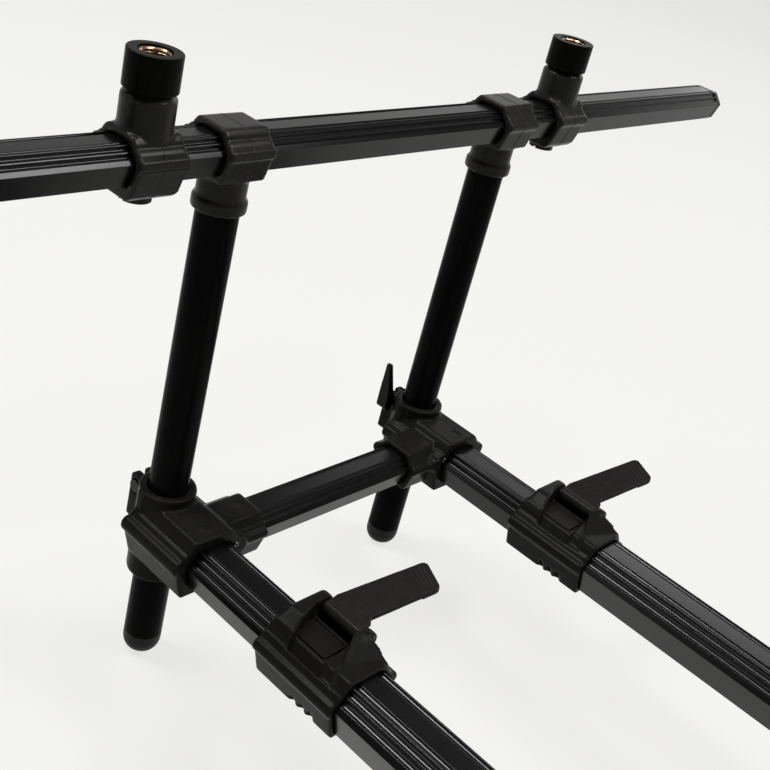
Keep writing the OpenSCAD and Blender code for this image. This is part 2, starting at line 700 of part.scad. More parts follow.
at_end(front) thread_insert(right);  // front_right_insert
at_end(rear) thread_insert(right);  // rear_left_insert
at_end(rear) thread_insert(left);  // rear_right_insert
at_end(front) clamp_screw(left);  // front_left_clamp_screw
at_end(front) clamp_screw(right);  // front_right_clamp_screw
at_end(rear) clamp_screw(right);  // rear_left_clamp_screw
at_end(rear) clamp_screw(left);  // rear_right_clamp_screw
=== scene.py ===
import json
import math

import bmesh
import bpy
from mathutils import Matrix, Vector

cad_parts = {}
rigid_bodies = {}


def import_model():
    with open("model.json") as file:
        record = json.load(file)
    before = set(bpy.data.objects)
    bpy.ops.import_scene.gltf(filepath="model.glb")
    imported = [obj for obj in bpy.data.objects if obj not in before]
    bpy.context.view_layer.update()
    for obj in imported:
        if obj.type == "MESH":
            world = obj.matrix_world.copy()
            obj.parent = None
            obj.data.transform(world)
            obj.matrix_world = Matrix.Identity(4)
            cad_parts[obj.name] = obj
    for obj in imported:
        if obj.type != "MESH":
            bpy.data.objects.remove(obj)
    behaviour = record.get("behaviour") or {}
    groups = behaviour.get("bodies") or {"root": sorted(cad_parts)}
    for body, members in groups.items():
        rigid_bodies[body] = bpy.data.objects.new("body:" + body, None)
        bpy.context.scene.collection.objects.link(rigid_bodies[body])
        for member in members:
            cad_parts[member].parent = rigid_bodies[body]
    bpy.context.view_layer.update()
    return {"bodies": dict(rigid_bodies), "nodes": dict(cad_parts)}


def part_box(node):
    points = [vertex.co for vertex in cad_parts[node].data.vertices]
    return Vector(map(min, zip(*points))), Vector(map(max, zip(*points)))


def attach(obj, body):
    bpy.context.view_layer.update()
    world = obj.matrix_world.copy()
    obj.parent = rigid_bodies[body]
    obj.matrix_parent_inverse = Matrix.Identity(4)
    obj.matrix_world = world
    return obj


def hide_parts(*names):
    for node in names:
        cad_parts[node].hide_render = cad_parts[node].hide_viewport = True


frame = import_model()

solids = frame["nodes"]


# Outer rails: two black anodised aluminium extrusions, the middle of the pod.
# They are drawn through a die, so fine lines run along them, and their grooves have rounded lips.
# The rail locks sit on their sawn ends.
def node_at(tree, kind, **settings):
    # A shader node with its settings and its sockets filled in
    made = tree.nodes.new(kind)
    for key, value in settings.items():
        if hasattr(made, key):
            setattr(made, key, value)
        else:
            made.inputs[key].default_value = value
    return made


def anodised(name, stretch, shine):
    # Dyed oxide over aluminium: near black, with the gloss broken up along the die lines
    finish = bpy.data.materials.new(name)
    finish.use_nodes = True
    tree = finish.node_tree
    wire = tree.links.new
    skin = tree.nodes["Principled BSDF"]
    skin.inputs["IOR"].default_value = 1.6
    skin.inputs["Specular IOR Level"].default_value = shine
    place = tree.nodes.new("ShaderNodeTexCoord")
    along = node_at(tree, "ShaderNodeMapping", Scale=stretch)
    wire(place.outputs["Object"], along.inputs["Vector"])
    lines = node_at(tree, "ShaderNodeTexNoise", Scale=1.0, Detail=1.5)
    wire(along.outputs["Vector"], lines.inputs["Vector"])
    cloud = node_at(tree, "ShaderNodeTexNoise", Scale=35.0, Detail=3.0)
    wire(place.outputs["Object"], cloud.inputs["Vector"])
    tint = tree.nodes.new("ShaderNodeValToRGB")
    tint.color_ramp.elements[0].position = 0.3
    tint.color_ramp.elements[0].color = (0.0027, 0.0027, 0.003, 1)
    tint.color_ramp.elements[1].position = 0.75
    tint.color_ramp.elements[1].color = (0.006, 0.006, 0.0058, 1)
    wire(cloud.outputs["Fac"], tint.inputs["Fac"])
    wire(tint.outputs["Color"], skin.inputs["Base Color"])
    gloss = tree.nodes.new("ShaderNodeMapRange")
    gloss.inputs["From Min"].default_value = 0.25
    gloss.inputs["From Max"].default_value = 0.75
    gloss.inputs["To Min"].default_value = 0.22
    gloss.inputs["To Max"].default_value = 0.25
    wire(lines.outputs["Fac"], gloss.inputs["Value"])
    wire(gloss.outputs["Result"], skin.inputs["Roughness"])
    relief = node_at(tree, "ShaderNodeBump", Strength=0.01, Distance=0.00002)
    wire(lines.outputs["Fac"], relief.inputs["Height"])
    wire(relief.outputs["Normal"], skin.inputs["Normal"])
    return finish


def dress(piece, finish):
    # The finish goes on the whole piece
    piece.data.materials.clear()
    piece.data.materials.append(finish)


WELD_GAP = 0.00001
EASE_STEPS = 3
EASE_ABOVE = math.radians(25)
EASE_WEIGHT = 80


def eased(piece, width):
    # Sharp corners of an extruded or turned solid broken by a small round
    weld = piece.modifiers.new("weld", "WELD")
    weld.merge_threshold = WELD_GAP
    ease = piece.modifiers.new("ease", "BEVEL")
    ease.width = width
    ease.segments = EASE_STEPS
    ease.limit_method = "ANGLE"
    ease.angle_limit = EASE_ABOVE
    even = piece.modifiers.new("even", "WEIGHTED_NORMAL")
    even.weight = EASE_WEIGHT


SIDES = ("left", "right")
RAIL_LIP = 0.00035
RAIL_LINES = (4000.0, 12.0, 4000.0)
OUTER_SHINE = 0.36
rail_finish = anodised("rail_anodised", RAIL_LINES, OUTER_SHINE)
for side in SIDES:
    rail = solids[f"{side}_outer_rail"]
    eased(rail, RAIL_LIP)
    dress(rail, rail_finish)


# Rail locks: glass-filled nylon sleeves, moulded in one shot, pushed on the ends of the outer rails.
# Two cheeks stand up for the lever's hinge pin, with a window between them that the lever folds into.
# Three finger notches are moulded low on each side.
def nylon(name, base, sheen, gleam):
    # Black moulded nylon: spark-eroded grain, faint flow marks, and convex edges lightened warm, partly
    # rubbed wear and partly a painted highlight
    finish = bpy.data.materials.new(name)
    finish.use_nodes = True
    tree = finish.node_tree
    wire = tree.links.new
    skin = tree.nodes["Principled BSDF"]
    skin.inputs["IOR"].default_value = 1.53
    skin.inputs["Specular IOR Level"].default_value = gleam
    place = tree.nodes.new("ShaderNodeTexCoord")
    flow = node_at(tree, "ShaderNodeTexNoise", Scale=240.0, Detail=5.0, Roughness=0.65, Distortion=0.6)
    grain = node_at(tree, "ShaderNodeTexNoise", Scale=2600.0, Detail=3.0, Roughness=0.65)
    for noise in (flow, grain):
        wire(place.outputs["Object"], noise.inputs["Vector"])
    tint = tree.nodes.new("ShaderNodeValToRGB")
    tint.color_ramp.elements[0].position = 0.3
    tint.color_ramp.elements[0].color = (base * 0.9, base * 0.88, base * 0.81, 1)
    tint.color_ramp.elements[1].position = 0.75
    tint.color_ramp.elements[1].color = (base * 1.15, base * 1.1, base * 0.97, 1)
    wire(flow.outputs["Fac"], tint.inputs["Fac"])
    # Convex edges, found by pointiness, get a lighter warm colour: partly rubbed wear, partly a painted
    # highlight
    shape = tree.nodes.new("ShaderNodeNewGeometry")
    edge = tree.nodes.new("ShaderNodeMapRange")
    edge.inputs["From Min"].default_value = 0.51
    edge.inputs["From Max"].default_value = 0.6
    edge.inputs["To Max"].default_value = 0.7
    wire(shape.outputs["Pointiness"], edge.inputs["Value"])
    wear_and_highlight = node_at(tree, "ShaderNodeMix", data_type="RGBA")
    wear_and_highlight.inputs["B"].default_value = (base * 3.0, base * 2.7, base * 2.3, 1)
    wire(edge.outputs["Result"], wear_and_highlight.inputs["Factor"])
    wire(tint.outputs["Color"], wear_and_highlight.inputs["A"])
    wire(wear_and_highlight.outputs["Result"], skin.inputs["Base Color"])
    gloss = tree.nodes.new("ShaderNodeMapRange")
    gloss.inputs["From Min"].default_value = 0.3
    gloss.inputs["From Max"].default_value = 0.7
    gloss.inputs["To Min"].default_value = sheen - 0.04
    gloss.inputs["To Max"].default_value = sheen + 0.04
    wire(flow.outputs["Fac"], gloss.inputs["Value"])
    wire(gloss.outputs["Result"], skin.inputs["Roughness"])
    relief = node_at(tree, "ShaderNodeBump", Strength=0.2, Distance=0.00006)
    wire(grain.outputs["Fac"], relief.inputs["Height"])
    wire(relief.outputs["Normal"], skin.inputs["Normal"])
    return finish


RADII_PULL = 0.5


def moulded(piece, voxel, rounds):
    # Radii of a moulding: every corner of the solid is rounded, inside and out
    weld = piece.modifiers.new("weld", "WELD")
    weld.merge_threshold = WELD_GAP
    shell = piece.modifiers.new("shell", "REMESH")
    shell.mode = "VOXEL"
    shell.voxel_size = voxel
    shell.use_smooth_shade = True
    radii = piece.modifiers.new("radii", "SMOOTH")
    radii.factor = RADII_PULL
    radii.iterations = rounds


ENDS = ("front", "rear")
HINGE = Vector((0.012046, 0.2919, 0.07975))
RAIL_X = 0.0758


def on_lock(end, side, spot):
    # A point of a front lock, from the middle of its rail, placed on one of the four locks
    turn = 1 if end == "front" else -1
    rail = -RAIL_X if side == "left" else RAIL_X
    return Vector((rail + turn * spot.x, turn * spot.y, spot.z))


CRADLE_R = 0.00325
CRADLE_FROM = -105
CRADLE_TURN = 11
CRADLE_STEPS = 7
CRADLE_HALF = 0.0097
CRADLE_LIP = Vector((0.0155, 0, 0.0771))
CRADLE_TOE = Vector((0.0159, 0, 0.0726))
CRADLE_ROOT = Vector((0.0112, 0, 0.0746))


def hinge_cradle(end, side):
    # Hollow rib under the lever's barrel that closes the hinge from below
    bend = [math.radians(CRADLE_FROM + CRADLE_TURN * step) for step in range(CRADLE_STEPS)]
    outline = [HINGE + Vector((CRADLE_R * math.cos(a), 0, CRADLE_R * math.sin(a))) for a in bend]
    outline += [CRADLE_LIP, CRADLE_TOE, CRADLE_ROOT]
    rib = bmesh.new()
    rows = []
    for reach in (-CRADLE_HALF, CRADLE_HALF):
        spots = [Vector((v.x, HINGE.y + reach, v.z)) for v in outline]
        rows.append([rib.verts.new(on_lock(end, side, v)) for v in spots])
        rib.faces.new(rows[-1])
    for step in range(len(outline)):
        ahead = (step + 1) % len(outline)
        rib.faces.new((rows[0][step], rows[0][ahead], rows[1][ahead], rows[1][step]))
    bmesh.ops.recalc_face_normals(rib, faces=rib.faces[:])
    shape = bpy.data.meshes.new("hinge_cradle")
    rib.to_mesh(shape)
    rib.free()
    piece = bpy.data.objects.new(f"{end}_{side}_hinge_cradle", shape)
    bpy.context.scene.collection.objects.link(piece)
    return piece


CRADLE_EASE = 0.0003
LOCK_VOXEL = 0.0005
LOCK_ROUNDS = 20
lock_finish = nylon("lock_nylon", base=0.011, sheen=0.27, gleam=0.042)
for end in ENDS:
    for side in SIDES:
        lock = solids[f"{end}_{side}_lock"]
        moulded(lock, LOCK_VOXEL, LOCK_ROUNDS)
        dress(lock, lock_finish)
        cradle = hinge_cradle(end, side)
        eased(cradle, CRADLE_EASE)
        dress(cradle, lock_finish)
        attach(cradle, "centre")


# Hinge pins and pressure pads: drawn steel pins with domed ends, pressed through the cheeks of the locks.
# Thin nylon pads lie loose under the levers, and a lever's heel pushes its pad down on the inner rail.
def steel(name, dark, light):
    # Bare or blackened steel: two tones of wear, and a gloss that follows them
    finish = bpy.data.materials.new(name)
    finish.use_nodes = True
    tree = finish.node_tree
    wire = tree.links.new
    skin = tree.nodes["Principled BSDF"]
    skin.inputs["Metallic"].default_value = 1.0
    place = tree.nodes.new("ShaderNodeTexCoord")
    wear = node_at(tree, "ShaderNodeTexNoise", Scale=900.0, Detail=4.0)
    wire(place.outputs["Object"], wear.inputs["Vector"])
    tint = tree.nodes.new("ShaderNodeValToRGB")
    tint.color_ramp.elements[0].color = (dark, dark, dark, 1)
    tint.color_ramp.elements[1].color = (light, light, light, 1)
    wire(wear.outputs["Fac"], tint.inputs["Fac"])
    wire(tint.outputs["Color"], skin.inputs["Base Color"])
    gloss = tree.nodes.new("ShaderNodeMapRange")
    gloss.inputs["To Min"].default_value = 0.22
    gloss.inputs["To Max"].default_value = 0.42
    wire(wear.outputs["Fac"], gloss.inputs["Value"])
    wire(gloss.outputs["Result"], skin.inputs["Roughness"])
    return finish


PIN_EASE = 0.0003
PAD_EASE = 0.0002
PIN_HALF = 0.0141
PIN_DOME = ((0.0011, -0.0004), (0.0011, 0.0001), (0.00095, 0.0005), (0.0006, 0.0008), (0.0002, 0.0009))
HEAD_SIDES = 24


def turned(name, profile, spot, facing):
    # A small head turned on a lathe, its axis along the rails: radii, and how far out each lies
    head = bmesh.new()
    rings = []
    for r, out in profile:
        ring = []
        for step in range(HEAD_SIDES):
            a = math.tau * step / HEAD_SIDES
            ring.append(head.verts.new(spot + Vector((r * math.cos(a), facing * out, r * math.sin(a)))))
        rings.append(ring)
    for ring, outer in zip(rings, rings[1:]):
        for step in range(HEAD_SIDES):
            ahead = (step + 1) % HEAD_SIDES
            head.faces.new((ring[step], ring[ahead], outer[ahead], outer[step]))
    head.faces.new(rings[0])
    head.faces.new(rings[-1])
    bmesh.ops.recalc_face_normals(head, faces=head.faces[:])
    shape = bpy.data.meshes.new(name)
    head.to_mesh(shape)
    head.free()
    piece = bpy.data.objects.new(name, shape)
    bpy.context.scene.collection.objects.link(piece)
    return piece


pin_finish = steel("pin_steel", dark=0.42, light=0.68)
eased(solids["lock_pins"], PIN_EASE)
dress(solids["lock_pins"], pin_finish)
for end in ENDS:
    for side in SIDES:
        for reach in (-1, 1):
            spot = on_lock(end, side, HINGE + Vector((0, reach * PIN_HALF, 0)))
            facing = reach if end == "front" else -reach
            dome = turned(f"{end}_{side}_pin_dome_{reach + 1}", PIN_DOME, spot, facing)
            dress(dome, pin_finish)
            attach(dome, "centre")
eased(solids["lock_pads"], PAD_EASE)
# The pads' nylon is darker than the lock's: painted shade for the pocket under the lever where they lie
dress(solids["lock_pads"], nylon("pad_nylon", base=0.007, sheen=0.4, gleam=0.04))


# Lock levers: moulded nylon blades on a hinge barrel, drawn open.
# The tip is thicker for the thumb, with low grip ribs moulded across it.
OPEN = math.radians(18)
TIP_SLANT = math.radians(22)
TIP_MID = Vector((0.03784, -0.00943))
TIP_OUT = Vector((math.cos(TIP_SLANT), -math.sin(TIP_SLANT)))
TIP_EDGE = Vector((math.sin(TIP_SLANT), math.cos(TIP_SLANT)))
BLADE_TOP = 0.0024
GRIP_RIBS = 3
GRIP_START = 0.0026
GRIP_PITCH = 0.0017
GRIP_REACH = 0.0052
GRIP_R = 0.00014


def on_lever(end, side, spot):
    # A point of the blade's upper face, from the hinge, placed on one of the four open levers
    along = spot.x * math.cos(OPEN) - BLADE_TOP * math.sin(OPEN)
    up = spot.x * math.sin(OPEN) + BLADE_TOP * math.cos(OPEN)
    return on_lock(end, side, HINGE + Vector((along, spot.y, up)))


def bead(name, points, radius, closed):
    # A thin half-sunk bead along a line of points: a rib, or the flash left by a split mould
    line = bpy.data.curves.new(name, "CURVE")
    line.dimensions = "3D"
    line.bevel_depth = radius
    line.bevel_resolution = 2
    line.use_fill_caps = True
    run = line.splines.new("POLY")
    run.points.add(len(points) - 1)
    for place, point in zip(run.points, points):
        place.co = (*point, 1)
    run.use_cyclic_u = closed
    piece = bpy.data.objects.new(name, line)
    bpy.context.scene.collection.objects.link(piece)
    return piece


LEVER_VOXEL = 0.0003
LEVER_ROUNDS = 14
lever_finish = nylon("lever_nylon", base=0.019, sheen=0.26, gleam=0.05)
for end in ENDS:
    for side in SIDES:
        lever = solids[f"{end}_{side}_lock_lever"]
        moulded(lever, LEVER_VOXEL, LEVER_ROUNDS)
        dress(lever, lever_finish)
        for count in range(GRIP_RIBS):
            back = TIP_MID - TIP_OUT * (GRIP_START + count * GRIP_PITCH)
            ends = [on_lever(end, side, back + TIP_EDGE * reach) for reach in (-GRIP_REACH, GRIP_REACH)]
            rib = bead(f"{end}_{side}_grip_rib_{count}", ends, GRIP_R, False)
            rib.data.materials.append(lever_finish)
            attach(rib, f"{end}_{side}_lock_lever")


# Inner rails: the slimmer extrusions that slide in the outer rails and seat in the corner blocks.
# Same black anodised finish and die lines, with less shine than the outer rails all over.
INNER_SHINE = 0.18
inner_rail_finish = anodised("inner_rail_anodised", RAIL_LINES, INNER_SHINE)
for end in ENDS:
    for side in SIDES:
        rail = solids[f"{end}_{side}_inner_rail"]
        eased(rail, RAIL_LIP)
        dress(rail, inner_rail_finish)


# Corner blocks: moulded nylon joints of inner rail, crossbar and upright.
# The boss for the upright is split behind, where two ears take the clamp bolt.
# A small socket screw in the mouth holds the rail, and two round marks show where the nylon was shot in.
MOUTH_Y = 0.352
SCREW_X = 0.0117
SCREW_Z = 0.0727
SCREW_HEAD = ((0.0013, -0.0008), (0.0013, 0.0002), (0.0011, 0.0005), (0.0006, 0.0005), (0.0005, -0.0003))
GATE_MARKS = ((RAIL_X, 0.3576, 0.0806), (0.0504, 0.3669, 0.07725))
MARK_R = 0.0028
MARK_BEAD = 0.00014
MARK_STEPS = 36
BLOCK_VOXEL = 0.0005
BLOCK_ROUNDS = 22
screw_finish = steel("screw_steel", dark=0.06, light=0.14)
block_finish = nylon("block_nylon", base=0.011, sheen=0.27, gleam=0.038)
for end in ENDS:
    for side in SIDES:
        block = solids[f"{end}_{side}_block"]
        moulded(block, BLOCK_VOXEL, BLOCK_ROUNDS)
        dress(block, block_finish)
        turn = 1 if end == "front" else -1
        hand = -1 if side == "left" else 1
        spot = Vector((hand * (RAIL_X - SCREW_X), turn * MOUTH_Y, SCREW_Z))
        screw = turned(f"{end}_{side}_mouth_screw", SCREW_HEAD, spot, -turn)
        dress(screw, screw_finish)
        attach(screw, f"{end}_frame")
        for count, (x, y, z) in enumerate(GATE_MARKS):
            middle = Vector((hand * x, turn * y, z))
            steps = [math.tau * step / MARK_STEPS for step in range(MARK_STEPS)]
            round_mark = [middle + Vector((MARK_R * math.cos(a), MARK_R * math.sin(a), 0)) for a in steps]
            mark = bead(f"{end}_{side}_gate_mark_{count}", round_mark, MARK_BEAD, True)
            mark.data.materials.append(block_finish)
            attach(mark, f"{end}_frame")


# Clamp bolts and cam levers: a steel bolt through both ears, and a nylon fin on a pin across its inner end.
# Turning the fin down draws the ears together round the upright.
BOLT_EASE = 0.0002
FIN_VOXEL = 0.00025
FIN_ROUNDS = 7
bolt_finish = steel("blackened_steel", dark=0.012, light=0.03)
for end in ENDS:
    bolts = solids[f"{end}_clamp_bolts"]
    eased(bolts, BOLT_EASE)
    dress(bolts, bolt_finish)
    for side in SIDES:
        fin = solids[f"{end}_{side}_cam_lever"]
        moulded(fin, FIN_VOXEL, FIN_ROUNDS)
        dress(fin, lever_finish)


# Crossbars: short lengths of the slim aluminium extrusion, black anodised, with the die lines along them.
# Their sawn ends are glued into the arms of the corner blocks.
BAR_LIP = 0.0003
BAR_LINES = (12.0, 4000.0, 4000.0)
BAR_SHINE = 0.15
bar_finish = anodised("bar_anodised", BAR_LINES, BAR_SHINE)
for end in ENDS:
    bar = solids[f"{end}_crossbar"]
    eased(bar, BAR_LIP)
    dress(bar, bar_finish)


# Uprights: round black anodised tubes that stand in the corner blocks, their lower ends the legs.
# Each ends in a domed rubber foot on a stem pressed into the tube.
def rubber(name):
    # Black moulded rubber: dull, with dust in its pores
    finish = bpy.data.materials.new(name)
    finish.use_nodes = True
    tree = finish.node_tree
    wire = tree.links.new
    skin = tree.nodes["Principled BSDF"]
    skin.inputs["IOR"].default_value = 1.5
    skin.inputs["Specular IOR Level"].default_value = 0.14
    place = tree.nodes.new("ShaderNodeTexCoord")
    dust = node_at(tree, "ShaderNodeTexNoise", Scale=450.0, Detail=5.0, Roughness=0.7)
    wire(place.outputs["Object"], dust.inputs["Vector"])
    tint = tree.nodes.new("ShaderNodeValToRGB")
    tint.color_ramp.elements[0].position = 0.35
    tint.color_ramp.elements[0].color = (0.007, 0.007, 0.007, 1)
    tint.color_ramp.elements[1].position = 0.8
    tint.color_ramp.elements[1].color = (0.017, 0.017, 0.0165, 1)
    wire(dust.outputs["Fac"], tint.inputs["Fac"])
    wire(tint.outputs["Color"], skin.inputs["Base Color"])
    gloss = tree.nodes.new("ShaderNodeMapRange")
    gloss.inputs["To Min"].default_value = 0.38
    gloss.inputs["To Max"].default_value = 0.55
    wire(dust.outputs["Fac"], gloss.inputs["Value"])
    wire(gloss.outputs["Result"], skin.inputs["Roughness"])
    relief = node_at(tree, "ShaderNodeBump", Strength=0.15, Distance=0.0001)
    wire(dust.outputs["Fac"], relief.inputs["Height"])
    wire(relief.outputs["Normal"], skin.inputs["Normal"])
    return finish


TUBE_EASE = 0.0003
TUBE_LINES = (3500.0, 3500.0, 12.0)
TUBE_SHINE = 0.013
FOOT_EASE = 0.0004
tube_finish = anodised("tube_anodised", TUBE_LINES, TUBE_SHINE)
foot_finish = rubber("foot_rubber")
for end in ENDS:
    for side in SIDES:
        tube = solids[f"{end}_{side}_upright"]
        eased(tube, TUBE_EASE)
        dress(tube, tube_finish)
    feet = solids[f"{end}_feet"]
    eased(feet, FOOT_EASE)
    dress(feet, foot_finish)


# Tees: moulded nylon collars on the buzz bar, with a beaded sleeve over the upright's top.
# The halves of the mould leave a fine flash line round the middle.
SEAM_R = 0.00013
SEAM_STEP = 2


def mould_seam(node, body, finish):
    # Outer loop of the piece's middle section, found on its rounded mesh, drawn as a bead
    low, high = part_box(node)
    shaped = solids[node].evaluated_get(bpy.context.evaluated_depsgraph_get())
    cut = bmesh.new()
    cut.from_mesh(shaped.to_mesh())
    middle = ((low[0] + high[0]) / 2, 0, 0)
    parts = cut.verts[:] + cut.edges[:] + cut.faces[:]
    bmesh.ops.bisect_plane(cut, geom=parts, plane_co=middle, plane_no=(1, 0, 0),
                           clear_inner=True, clear_outer=True)
    left = dict.fromkeys(cut.verts[:])
    loops = []
    while left:
        spot = next(iter(left))
        del left[spot]
        loop = [spot.co.copy()]
        while True:
            ahead = [edge.other_vert(spot) for edge in spot.link_edges]
            ahead = [vert for vert in ahead if vert in left]
            if not ahead:
                break
            spot = ahead[0]
            del left[spot]
            loop.append(spot.co.copy())
        loops.append(loop)
    outer = max(loops, key=lambda loop: max(v.y for v in loop) - min(v.y for v in loop))
    cut.free()
    shaped.to_mesh_clear()
    seam = bead(f"{node}_seam", outer[::SEAM_STEP], SEAM_R, True)
    seam.data.materials.append(finish)
    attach(seam, body)


TEE_VOXEL = 0.0005
TEE_ROUNDS = 14
tee_finish = nylon("tee_nylon", base=0.019, sheen=0.26, gleam=0.08)
for end in ENDS:
    for side in SIDES:
        tee = solids[f"{end}_{side}_tee"]
        moulded(tee, TEE_VOXEL, TEE_ROUNDS)
        dress(tee, tee_finish)
        mould_seam(f"{end}_{side}_tee", f"{end}_post", tee_finish)


# Buzz bars: the slim aluminium extrusion across the tops of the uprights, black anodised, held by the tees.
# Moulded nylon plugs are pushed into its sawn ends.
PLUG_EASE = 0.0005
for end in ENDS:
    bar = solids[f"{end}_buzz_bar"]
    eased(bar, BAR_LIP)
    dress(bar, bar_finish)
    plugs = solids[f"{end}_bar_plugs"]
    eased(plugs, PLUG_EASE)
    dress(plugs, tee_finish)


# Sockets: moulded collars that slide on the buzz bar, each with a round post.
# A clamp screw from below holds a collar where it is put.
CLAMP_SCREW_EASE = 0.0003
for end in ENDS:
    for side in SIDES:
        collar = solids[f"{end}_{side}_collar"]
        moulded(collar, TEE_VOXEL, TEE_ROUNDS)
        dress(collar, tee_finish)
        mould_seam(f"{end}_{side}_collar", f"{end}_{side}_socket", tee_finish)
        screw = solids[f"{end}_{side}_clamp_screw"]
        eased(screw, CLAMP_SCREW_EASE)
        dress(screw, tee_finish)


# Turning rings: the top of each post, moulded in nylon round a turned brass insert, free to turn.
# The insert holds the thread for a bite alarm, and its short neck shows in the ring's mouth.
def brass(name):
    # Turned brass, browned by weather
    finish = bpy.data.materials.new(name)
    finish.use_nodes = True
    tree = finish.node_tree
    wire = tree.links.new
    skin = tree.nodes["Principled BSDF"]
    skin.inputs["Metallic"].default_value = 1.0
    place = tree.nodes.new("ShaderNodeTexCoord")
    patina = node_at(tree, "ShaderNodeTexNoise", Scale=400.0, Detail=4.0)
    wire(place.outputs["Object"], patina.inputs["Vector"])
    tint = tree.nodes.new("ShaderNodeValToRGB")
    tint.color_ramp.elements[0].color = (0.24, 0.145, 0.075, 1)
    tint.color_ramp.elements[1].color = (0.58, 0.39, 0.25, 1)
    wire(patina.outputs["Fac"], tint.inputs["Fac"])
    wire(tint.outputs["Color"], skin.inputs["Base Color"])
    gloss = tree.nodes.new("ShaderNodeMapRange")
    gloss.inputs["To Min"].default_value = 0.18
    gloss.inputs["To Max"].default_value = 0.34
    wire(patina.outputs["Fac"], gloss.inputs["Value"])
    wire(gloss.outputs["Result"], skin.inputs["Roughness"])
    return finish


NECK_UP = 0.0011
NECK_R = 0.0052
PITCH = 0.00106
THREAD_IN = 0.0042
THREAD_DEEP = 0.00055
THREAD_FLAT = 1.25
LEAD_IN = 0.0006
INSERT_SIDES = 64
TURN_STEPS = 9


def threaded_insert(name, box):
    # Brass bush with a helical thread, lead-in chamfers and a short neck up into the ring's mouth
    low, high = box
    middle = ((low[0] + high[0]) / 2, (low[1] + high[1]) / 2)
    outside = (high[0] - low[0]) / 2
    tall = high[2] + NECK_UP - low[2]
    rows = round(tall / PITCH * TURN_STEPS)
    bush = bmesh.new()
    rings = []
    for row in range(rows + 1):
        z = tall * row / rows
        ends = max(0.0, LEAD_IN - z, LEAD_IN - (tall - z))
        ring = []
        for step in range(INSERT_SIDES):
            around = step / INSERT_SIDES
            phase = (z / PITCH + around) % 1.0
            groove = min(1.0, THREAD_FLAT * (1 - abs(2 * phase - 1)))
            r = THREAD_IN + THREAD_DEEP * groove
            r = max(r, THREAD_IN + ends)
            angle = math.tau * around
            x = middle[0] + r * math.cos(angle)
            y = middle[1] + r * math.sin(angle)
            ring.append(bush.verts.new((x, y, low[2] + z)))
        rings.append(ring)
    ease = LEAD_IN / 3
    top = high[2] + NECK_UP
    outer_turning = ((NECK_R - ease, top), (NECK_R, top - ease), (NECK_R, high[2]), (outside, high[2]),
                     (outside, low[2] + ease), (outside - ease, low[2]))
    for r, z in outer_turning:
        ring = []
        for step in range(INSERT_SIDES):
            angle = math.tau * step / INSERT_SIDES
            x = middle[0] + r * math.cos(angle)
            y = middle[1] + r * math.sin(angle)
            ring.append(bush.verts.new((x, y, z)))
        rings.append(ring)
    rings.append(rings[0])
    for inner, outer in zip(rings, rings[1:]):
        for step in range(INSERT_SIDES):
            ahead = (step + 1) % INSERT_SIDES
            bush.faces.new((inner[step], outer[step], outer[ahead], inner[ahead]))
    bmesh.ops.recalc_face_normals(bush, faces=bush.faces[:])
    shape = bpy.data.meshes.new(name)
    bush.to_mesh(shape)
    bush.free()
    piece = bpy.data.objects.new(name, shape)
    bpy.context.scene.collection.objects.link(piece)
    return piece


RING_EASE = 0.0005
ring_finish = nylon("ring_nylon", base=0.0035, sheen=0.26, gleam=0.02)
insert_finish = brass("insert_brass")
for end in ENDS:
    for side in SIDES:
        ring = solids[f"{end}_{side}_ring"]
        eased(ring, RING_EASE)
        dress(ring, ring_finish)
        insert = threaded_insert(f"{end}_{side}_threaded_insert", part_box(f"{end}_{side}_insert"))
        insert.data.materials.append(insert_finish)
        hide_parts(f"{end}_{side}_insert")
        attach(insert, f"{end}_{side}_turning_ring")


# Studio: a floor of pale paper that runs up into a backdrop all round.
# Soft lamps, a room that is dark above, and the camera of the photograph.
def lamp(name, spot, aim, width, height, watts):
    # A soft lamp of that width and height, turned to its aim
    light = bpy.data.lights.new(name, "AREA")
    light.shape = "RECTANGLE"
    light.size = width
    light.size_y = height
    light.energy = watts
    shown = bpy.data.objects.new(name, light)
    bpy.context.scene.collection.objects.link(shown)
    shown.location = spot
    shown.rotation_euler = (Vector(aim) - Vector(spot)).to_track_quat("-Z", "Y").to_euler()
    return shown


PAPER_SHARE = 0.74
paper = bpy.data.materials.new("paper")
paper.use_nodes = True
tree = paper.node_tree
wire = tree.links.new
sheet = tree.nodes["Principled BSDF"]
sheet.inputs["Base Color"].default_value = (0.6, 0.6, 0.58, 1)
sheet.inputs["Roughness"].default_value = 0.95
sheet.inputs["Specular IOR Level"].default_value = 0.1
glow = node_at(tree, "ShaderNodeEmission", Color=(1.0, 0.995, 0.965, 1), Strength=1.0)
rays = tree.nodes.new("ShaderNodeLightPath")
mirror = node_at(tree, "ShaderNodeMath", operation="MAXIMUM")
wire(rays.outputs["Is Glossy Ray"], mirror.inputs[0])
wire(rays.outputs["Is Transmission Ray"], mirror.inputs[1])
seen = node_at(tree, "ShaderNodeMath", operation="MAXIMUM")
wire(rays.outputs["Is Camera Ray"], seen.inputs[0])
wire(mirror.outputs["Value"], seen.inputs[1])
share = node_at(tree, "ShaderNodeMath", operation="MULTIPLY")
share.inputs[1].default_value = PAPER_SHARE
wire(seen.outputs["Value"], share.inputs[0])
both = tree.nodes.new("ShaderNodeMixShader")
wire(share.outputs["Value"], both.inputs["Fac"])
wire(sheet.outputs["BSDF"], both.inputs[1])
wire(glow.outputs["Emission"], both.inputs[2])
wire(both.outputs["Shader"], tree.nodes["Material Output"].inputs["Surface"])

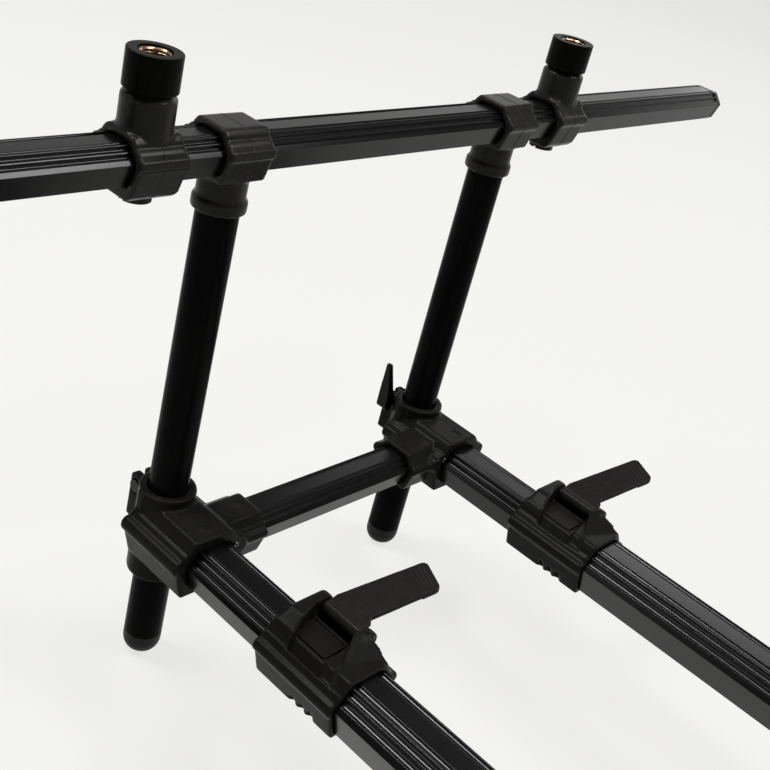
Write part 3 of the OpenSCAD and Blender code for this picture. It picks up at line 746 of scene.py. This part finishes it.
SWEEP = ((3.6, 0.0), (4.2, 0.04), (4.65, 0.2), (4.9, 0.48), (5.0, 0.9), (5.0, 1.75))
SWEEP_SIDES = 96
FLOOR_GAP = 0.0005
floor_mesh = bmesh.new()
rows = []
for out, up in SWEEP:
    turns = [math.tau * step / SWEEP_SIDES for step in range(SWEEP_SIDES)]
    rows.append([floor_mesh.verts.new((out * math.cos(a), out * math.sin(a), up)) for a in turns])
floor_mesh.faces.new(rows[0])
for row, outer in zip(rows, rows[1:]):
    for step in range(SWEEP_SIDES):
        ahead = (step + 1) % SWEEP_SIDES
        floor_mesh.faces.new((row[step], outer[step], outer[ahead], row[ahead])).smooth = True
floor_data = bpy.data.meshes.new("floor")
floor_mesh.to_mesh(floor_data)
floor_mesh.free()
floor = bpy.data.objects.new("floor", floor_data)
bpy.context.scene.collection.objects.link(floor)
floor.location.z = -FLOOR_GAP
floor_data.materials.append(paper)

# The uprights slide down through the blocks, so the floor lies under the pair of feet that reaches lowest
under_front = floor.constraints.new("COPY_LOCATION")
under_front.target = frame["bodies"]["front_post"]
under_front.use_x = False
under_front.use_y = False
under_front.use_offset = True
under_rear = floor.constraints.new("FLOOR")
under_rear.target = frame["bodies"]["rear_post"]
under_rear.floor_location = "FLOOR_NEGATIVE_Z"
under_rear.offset = -FLOOR_GAP

# The room: bright paper low down all round, and a dark ceiling that the top faces of the rails mirror
world = bpy.data.worlds.new("studio")
bpy.context.scene.world = world
world.use_nodes = True
tree = world.node_tree
wire = tree.links.new
facing = tree.nodes.new("ShaderNodeTexCoord")
height = tree.nodes.new("ShaderNodeSeparateXYZ")
wire(facing.outputs["Generated"], height.inputs["Vector"])
room = tree.nodes.new("ShaderNodeValToRGB")
room.color_ramp.elements[0].position = 0.0
room.color_ramp.elements[0].color = (0.9, 0.9, 0.88, 1)
room.color_ramp.elements[1].position = 1.0
room.color_ramp.elements[1].color = (0.03, 0.03, 0.03, 1)
for where, tone in ((0.3, 0.75), (0.45, 0.2), (0.6, 0.04)):
    stop = room.color_ramp.elements.new(where)
    stop.color = (tone, tone, tone * 0.99, 1)
wire(height.outputs["Z"], room.inputs["Fac"])
ahead_of_lens = node_at(tree, "ShaderNodeVectorMath", operation="DOT_PRODUCT")
ahead_of_lens.inputs[1].default_value = (0.8, 0.6, 0.0)
wire(facing.outputs["Generated"], ahead_of_lens.inputs[0])
level = tree.nodes.new("ShaderNodeMapRange")
level.inputs["From Min"].default_value = -0.1
level.inputs["From Max"].default_value = 0.6
level.inputs["To Min"].default_value = 0.06
level.inputs["To Max"].default_value = 1.1
wire(ahead_of_lens.outputs["Value"], level.inputs["Value"])
wire(room.outputs["Color"], tree.nodes["Background"].inputs["Color"])
wire(level.outputs["Result"], tree.nodes["Background"].inputs["Strength"])
lamp("window", (-0.45, 1.05, 1.65), (0, 0.33, 0.1), width=0.42, height=0.9, watts=21)
lamp("side", (0.8, -0.45, 1.6), (-0.1, 0.37, 0.2), width=0.6, height=0.26, watts=12.5)
lamp("top", (0.3, 0.2, 1.9), (0, 0.3, 0.1), width=0.6, height=0.6, watts=10)
lamp("wall", (1.78, 1.05, 1.2), (0.08, 0.29, 0.08), width=1.3, height=0.4, watts=2.2)
lamp("low_wall", (1.7, 0.5, 0.75), (0.1, 0.33, 0.2), width=1.2, height=0.5, watts=2.4)

EYE_SPOT = Vector((-0.34488, 0.09238, 0.36781))
EYE_AHEAD = Vector((0.7033, 0.5242, -0.4802))
EYE_ACROSS = Vector((0.6778, -0.6981, 0.2306))
eye = bpy.data.cameras.new("eye")
eye.sensor_width = 36.0
eye.lens = 56.17
camera = bpy.data.objects.new("eye", eye)
bpy.context.scene.collection.objects.link(camera)
ahead = EYE_AHEAD.normalized()
across = EYE_ACROSS.normalized()
above = across.cross(ahead)
turn = Matrix((across, above, -ahead)).transposed().to_4x4()
camera.matrix_world = Matrix.Translation(EYE_SPOT) @ turn
eye.clip_start = 0.01
bpy.context.scene.camera = camera
bpy.context.scene.view_settings.view_transform = "Standard"
